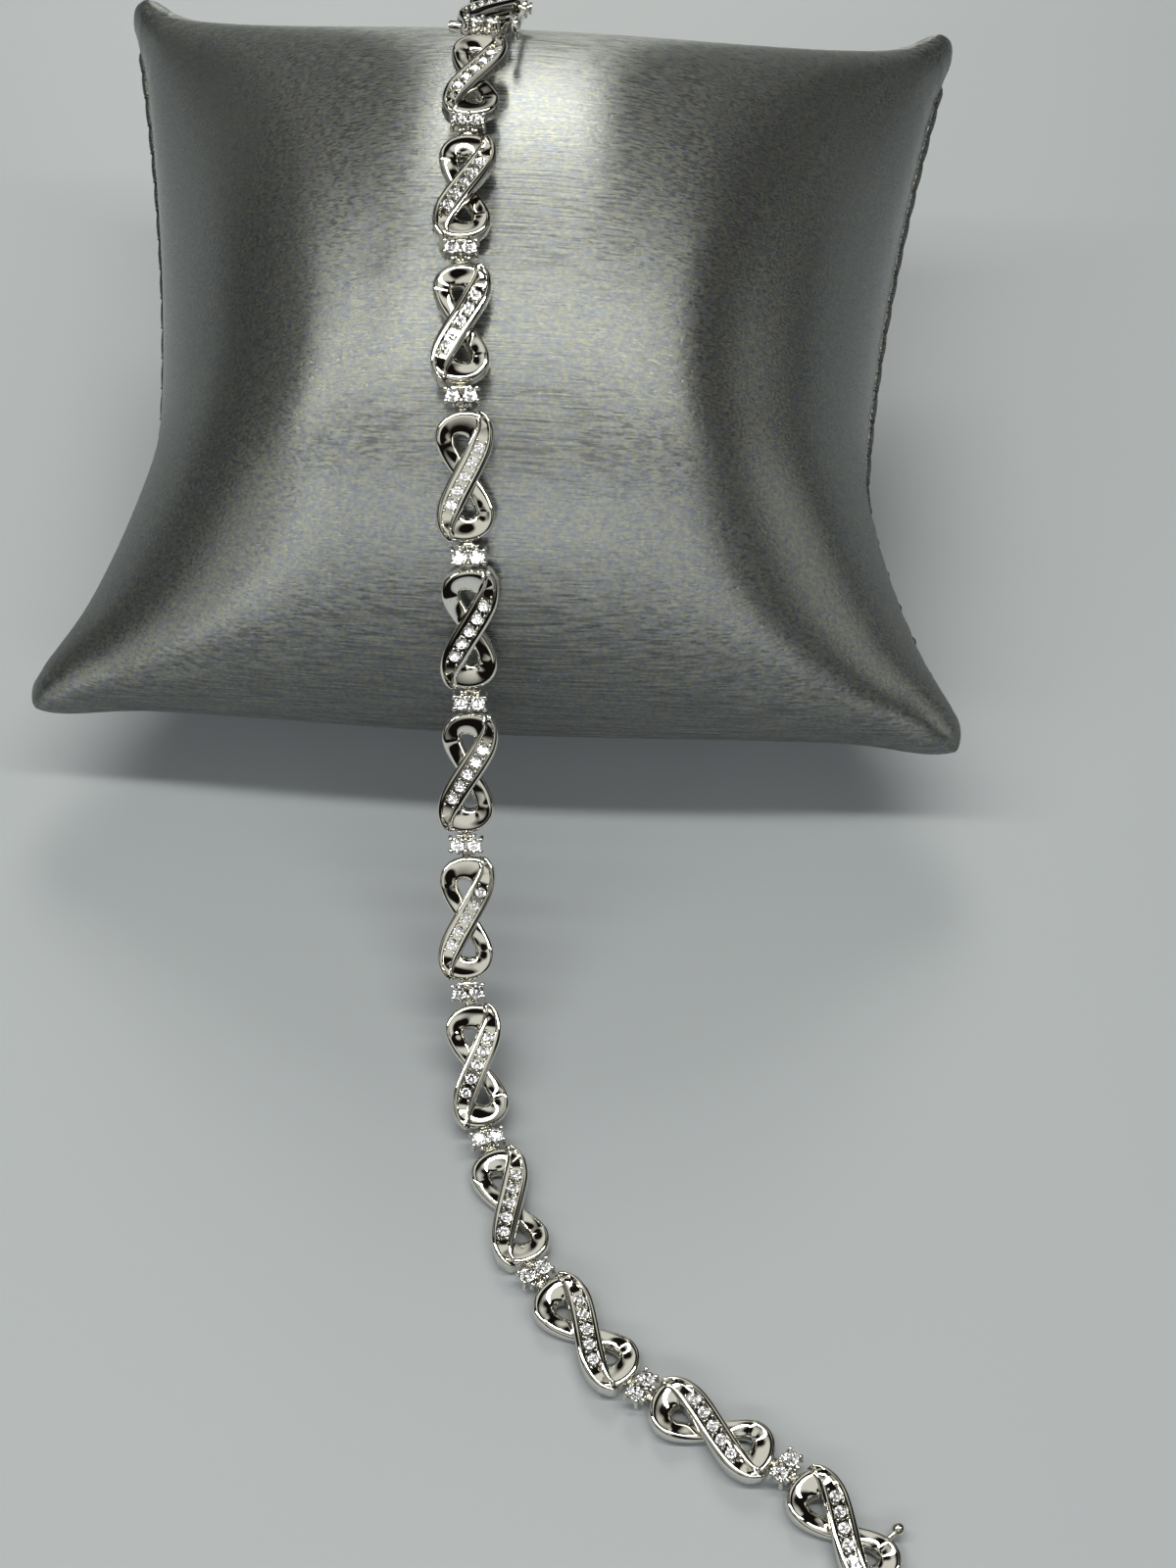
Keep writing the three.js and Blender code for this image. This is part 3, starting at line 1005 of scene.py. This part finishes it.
def applied(piece):
    """The piece's mesh with its modifiers applied."""
    graph = bpy.context.evaluated_depsgraph_get()
    mesh = bpy.data.meshes.new_from_object(piece.evaluated_get(graph))
    piece.modifiers.clear()
    old = piece.data
    piece.data = mesh
    bpy.data.meshes.remove(old)


def seam_line(side, steps=80):
    return [pillow_point(side, 2 * step / steps - 1, 1, CLOTH_RADIUS) for step in range(steps + 1)]


def stuffed_mesh():
    """The shell remeshed evenly, then pressed outwards from inside with its seams held."""
    dummy = new_object("stuffing", pillow_shell())
    remesh = dummy.modifiers.new("even", "REMESH")
    remesh.mode = "VOXEL"
    remesh.voxel_size = VOXEL
    applied(dummy)
    bm = bmesh.new()
    bm.from_mesh(dummy.data)
    for _ in range(3):
        smooth_points(bm, 0.5)
    bmesh.ops.scale(bm, verts=bm.verts, vec=(STUFFING_SCALE * MM,) * 3)
    bm.to_mesh(dummy.data)
    bm.free()
    start = [vert.co.copy() for vert in dummy.data.vertices]
    held = dummy.vertex_groups.new(name="seams")
    seam_points = seam_line(-1) + seam_line(1)
    seams = kdtree.KDTree(len(seam_points))
    for index, point in enumerate(seam_points):
        seams.insert(point * STUFFING_SCALE * MM, index)
    seams.balance()
    reach = SEAM_HOLD * STUFFING_SCALE * MM
    for index, place in enumerate(start):
        gap = seams.find(place)[2]
        held.add([index], 1 - ramp(gap, reach * 0.5, reach), "REPLACE")
    cloth = dummy.modifiers.new("cloth", "CLOTH")
    for setting, value in CLOTH_SETTINGS.items():
        setattr(cloth.settings, setting, value)
    cloth.settings.effector_weights.gravity = 0
    cloth.collision_settings.use_collision = False
    for step in range(1, STUFFING_STEPS + 1):
        bpy.context.scene.frame_set(step)
    applied(dummy)
    bpy.context.scene.frame_set(1)
    finished_mesh = dummy.data
    bpy.data.objects.remove(dummy)
    return finished_mesh, start


# %% Keep the stuffing inside its limits
SWELL_CAP = 2.2
CHAIN_BAND = (7, 16)
CHAIN_SWELL = 0.08
SIDE_SWELL = 1.2
UPPER_HALF_Z = 20


def cad_pillow_tree():
    bm = bmesh.new()
    bm.from_mesh(frame["nodes"]["display_pillow"].data)
    bmesh.ops.remove_doubles(bm, verts=bm.verts, dist=1e-7)
    tree = bvhtree.BVHTree.FromBMesh(bm)
    bm.free()
    return tree


def chain_middle_x(y):
    """How far right the chain lies at a distance in mm from front to back."""
    nearest = min(link_frames[:7], key=lambda place: abs(place.translation.y - y))
    return nearest.translation.x


def settled_pillow():
    mesh, start = stuffed_mesh()
    scale = STUFFING_SCALE * MM
    tree = cad_pillow_tree()
    bm = bmesh.new()
    bm.from_mesh(mesh)
    bpy.data.meshes.remove(mesh)
    swells = []
    for vert, before in zip(bm.verts, start):
        moved = vert.co - before
        cap = SWELL_CAP * scale
        if moved.length > cap:
            moved *= cap / moved.length
        place = (before + moved) / scale
        swells.append((moved / scale).length)
        place.z = max(place.z, 0)
        beside = abs(place.x - chain_middle_x(place.y))
        if place.z > UPPER_HALF_Z and beside < CHAIN_BAND[1]:
            hit, normal, _, _ = tree.find_nearest(place * MM)
            above = (place * MM - hit).dot(normal) / MM
            limit = mix(CHAIN_SWELL, SIDE_SWELL, ramp(beside, *CHAIN_BAND))
            if above > limit:
                place -= normal * (above - limit)
        vert.co = place
    smooth_points(bm, 0.3)
    print("stuffing moved a point by up to", round(max(swells), 2), "mm")
    return bm


pillow = finished(
    "leatherette_pillow",
    settled_pillow(),
    Matrix.Identity(4),
    LEATHERETTE,
    replaces=["display_pillow"],
    smooth_below=180,
)
finer = pillow.modifiers.new("finer", "SUBSURF")
finer.levels = 1
finer.render_levels = 1
print("pillow vertices:", len(pillow.data.vertices))

# %% [markdown]
# ## Side seams
#
# Each open side of the tube is closed by hand. The two panels' edges are turned in, which makes
# two soft lips with a dark line between them, and a whip stitch pinches both lips every few
# millimetres. The lips are flattened tubes along the seam that swell between the stitches. The
# lower one is wider and stands further out, so it shows beyond the upper one from above.

# %% Lips and stitches
Lip = namedtuple("Lip", "half_width half_height out up")
UPPER_LIP = Lip(0.50, 0.50, 0.10, 0.45)
LOWER_LIP = Lip(0.90, 0.45, 0.62, -0.50)
STITCH_PITCH = 3.8
SEAM_END = 0.93
SEAM_LENGTH = 2 * SEAM_HALF * SEAM_END
SEAM_DEPTH = CLOTH_RADIUS * 0.7
LIP_COLUMNS = 12
LIP_ROWS = 176


def seam_frame(side, v):
    """A point on the seam, with the directions along it, outwards and up."""
    step = 0.01
    point = pillow_point(side, v, 1, SEAM_DEPTH)
    after = pillow_point(side, min(v + step, 1), 1, SEAM_DEPTH)
    before = pillow_point(side, max(v - step, -1), 1, SEAM_DEPTH)
    ahead = (after - before).normalized()
    up = Vector((0, -math.sin(TILT), math.cos(TILT)))
    out = ahead.cross(up) if side > 0 else up.cross(ahead)
    return point, ahead, out.normalized(), up


def seam_lip(side, lip):
    """One panel's turned edge, along one side of the pillow."""

    def place(along, around):
        v = along * SEAM_END
        point, ahead, out, up = seam_frame(side, v)
        puff = abs(math.sin(math.pi * (along + 1) / 2 * SEAM_LENGTH / STITCH_PITCH)) ** 0.6
        ends = 1 - ramp(abs(along), 0.9, 1.0) * 0.8
        size = (0.80 + 0.20 * puff) * ends
        turn = 2 * math.pi * around / LIP_COLUMNS
        centre = point + out * (lip.out * ends) + up * lip.up
        sideways = out * (lip.half_width * size * math.cos(turn))
        return centre + sideways + up * (lip.half_height * size * math.sin(turn))

    return rolled_tube(LIP_COLUMNS, LIP_ROWS, place)


for side, label in SIDES:
    lips = seam_lip(side, UPPER_LIP)
    take_in(lips, seam_lip(side, LOWER_LIP))
    finished(
        f"seam_lips_{label}",
        lips,
        Matrix.Identity(4),
        LEATHERETTE,
        smooth_below=180,
    )

# %% Whip stitches
THREAD_RADIUS = 0.09
STITCH_RADIUS = 0.9
STITCH_STRETCH = (1.0, 1.2, 1)
STITCH_OUT = 0.45
STITCH_LEAN = 24


def sewing_thread():
    material, tree, shader = new_material("grey sewing thread")
    place = node(tree, "ShaderNodeTexCoord")
    fibre = node(tree, "ShaderNodeTexNoise", Scale=4000.0, Detail=3.0)
    shade = two_tones(tree, ((0.015, 0.015, 0.016), (0.07, 0.07, 0.075)))
    shader.inputs["Roughness"].default_value = 0.6
    tree.links.new(place.outputs["Object"], fibre.inputs["Vector"])
    tree.links.new(fibre.outputs["Fac"], shade.inputs["Fac"])
    tree.links.new(shade.outputs["Color"], shader.inputs["Base Color"])
    return material


THREAD = sewing_thread()


def stitches(side):
    bm = bmesh.new()
    section = Matrix.Translation((STITCH_RADIUS, 0, 0)) @ STANDING
    lean = Matrix.Rotation(math.radians(STITCH_LEAN * side), 4, "X")
    for index in range(1, int(SEAM_LENGTH / STITCH_PITCH)):
        v = (2 * index * STITCH_PITCH / SEAM_LENGTH - 1) * SEAM_END
        point, ahead, out, up = seam_frame(side, v)
        turned = Matrix((out, up, ahead)).transposed().to_4x4()
        ring = bmesh.new()
        bmesh.ops.create_circle(ring, segments=6, radius=THREAD_RADIUS, matrix=section)
        spin_round(ring, (0, 0, 1), 16)
        bmesh.ops.scale(ring, verts=ring.verts, vec=STITCH_STRETCH)
        bmesh.ops.recalc_face_normals(ring, faces=ring.faces)
        place = Matrix.Translation(point + out * STITCH_OUT) @ turned @ lean
        bmesh.ops.transform(ring, matrix=place, verts=ring.verts)
        take_in(bm, ring)
    return bm


for side, label in SIDES:
    finished(f"whip_stitches_{label}", stitches(side), Matrix.Identity(4), THREAD)

# %% [markdown]
# ## Light, floor and camera
#
# Polished metal shows its surroundings rather than its own colour, so it needs something dark to
# mirror as well as something bright. The world is therefore a dim room with a few pale patches
# overhead, and one long strip light hangs above the pillow. The leatherette is satin and needs
# broad sheens instead: a panel behind gives the one on its crown, and a wide low panel in front
# gives the one along its front. Two small low panels at the sides pick out the front ears. All
# four would burn out the metal, so light linking keeps them off it. The stones do take them,
# because their flat facets are meant to flash. Whatever the camera sees directly beyond the floor
# is a plain pale backdrop. The camera looks steeply down at the pillow's front.

# %% Floor and world


def pale_floor():
    bm = bmesh.new()
    bmesh.ops.create_grid(bm, x_segments=1, y_segments=1, size=1.5)
    floor = new_object("floor", bm)
    material, _, shader = new_material("pale table top")
    shader.inputs["Base Color"].default_value = (0.180, 0.196, 0.206, 1)
    shader.inputs["Roughness"].default_value = 0.55
    floor.data.materials.append(material)


pale_floor()


ROOM_DARK = (0.010, 0.008, 0.007)
ROOM_LIGHT = (1.0, 1.0, 0.93)
BACKDROP = (0.60, 0.62, 0.62)


def studio_world():
    """A dim room with lighter patches above, and a pale backdrop where it is seen directly."""
    world = bpy.data.worlds.new("studio")
    world.use_nodes = True
    tree = world.node_tree
    way = tree.nodes.new("ShaderNodeTexCoord")
    split = tree.nodes.new("ShaderNodeSeparateXYZ")
    height = remap(tree, from_range=(0.3, 0.7))
    patches = node(tree, "ShaderNodeTexNoise", Scale=2.4, Detail=0.0)
    spread = remap(tree, from_range=(0.47, 0.60))
    light = node(tree, "ShaderNodeMath", operation="MULTIPLY")
    tone = two_tones(tree, (ROOM_DARK, ROOM_LIGHT))
    tree.links.new(way.outputs["Generated"], split.inputs["Vector"])
    tree.links.new(way.outputs["Generated"], patches.inputs["Vector"])
    tree.links.new(split.outputs["Z"], height.inputs["Value"])
    tree.links.new(patches.outputs["Fac"], spread.inputs["Value"])
    tree.links.new(height.outputs["Result"], light.inputs[0])
    tree.links.new(spread.outputs["Result"], light.inputs[1])
    tree.links.new(light.outputs["Value"], tone.inputs["Fac"])
    ray = tree.nodes.new("ShaderNodeLightPath")
    backdrop = node(tree, "ShaderNodeMix", data_type="RGBA")
    backdrop.inputs[7].default_value = (*BACKDROP, 1)
    tree.links.new(ray.outputs["Is Camera Ray"], backdrop.inputs["Factor"])
    tree.links.new(tone.outputs["Color"], backdrop.inputs[6])
    tree.links.new(backdrop.outputs[2], tree.nodes["Background"].inputs["Color"])
    tree.nodes["Background"].inputs["Strength"].default_value = 0.7
    return world


bpy.context.scene.world = studio_world()

# %% Lights
Lamp = namedtuple("Lamp", "name size_x size_y place target power tint metal_too")
WARM = (1.0, 0.985, 0.93)
PLAIN = (1.0, 1.0, 1.0)
LAMPS = [
    Lamp("overhead", 0.04, 0.95, (-0.055, -0.03, 0.52), (-0.02, -0.03, 0.03), 4.3, WARM, True),
    Lamp("back", 0.30, 0.30, (-0.05, 0.66, 0.52), (0, -0.01, 0.04), 5.0, WARM, False),
    Lamp("front", 1.60, 0.16, (-0.04, -0.80, 0.50), (0, -0.04, 0.03), 8.2, PLAIN, False),
    Lamp("left", 0.50, 0.35, (-0.62, -0.50, 0.22), (-0.03, -0.04, 0.02), 0.9, WARM, False),
    Lamp("right", 0.50, 0.35, (0.78, -0.12, 0.22), (0.03, -0.04, 0.02), 0.75, WARM, False),
]
lit_by_panels = bpy.data.collections.new("lit by panels")
for thing in bpy.context.scene.objects:
    if thing.type == "MESH" and thing.data.materials and thing.data.materials[0] != METAL:
        lit_by_panels.objects.link(thing)


def add_lamp(lamp):
    light = bpy.data.lights.new(lamp.name, "AREA")
    light.shape = "RECTANGLE"
    light.size = lamp.size_x
    light.size_y = lamp.size_y
    light.energy = lamp.power
    light.color = lamp.tint
    made = bpy.data.objects.new(lamp.name, light)
    made.location = lamp.place
    aim = Vector(lamp.target) - made.location
    made.rotation_euler = aim.to_track_quat("-Z", "Y").to_euler()
    if not lamp.metal_too:
        made.light_linking.receiver_collection = lit_by_panels
    bpy.context.scene.collection.objects.link(made)


for lamp in LAMPS:
    add_lamp(lamp)

# %% Camera
CAMERA_PLACE = Vector((11.98, -181.66, 199.88)) * MM
CAMERA_DOWN = math.radians(55.15)
CAMERA_AROUND = math.radians(1.05)
CAMERA_ROLL = math.radians(1.85)
LENS_MM = 54.1


def add_camera():
    camera = bpy.data.cameras.new("camera")
    camera.sensor_width = 36
    camera.sensor_fit = "AUTO"
    camera.lens = LENS_MM
    made = bpy.data.objects.new("camera", camera)
    around = Matrix.Rotation(CAMERA_AROUND, 4, "Z")
    aim = around @ Matrix.Rotation(math.pi / 2 - CAMERA_DOWN, 4, "X")
    roll = Matrix.Rotation(CAMERA_ROLL, 4, "Z")
    made.matrix_world = Matrix.Translation(CAMERA_PLACE) @ aim @ roll
    bpy.context.scene.collection.objects.link(made)
    bpy.context.scene.camera = made


add_camera()
bpy.context.scene.view_settings.view_transform = "Standard"
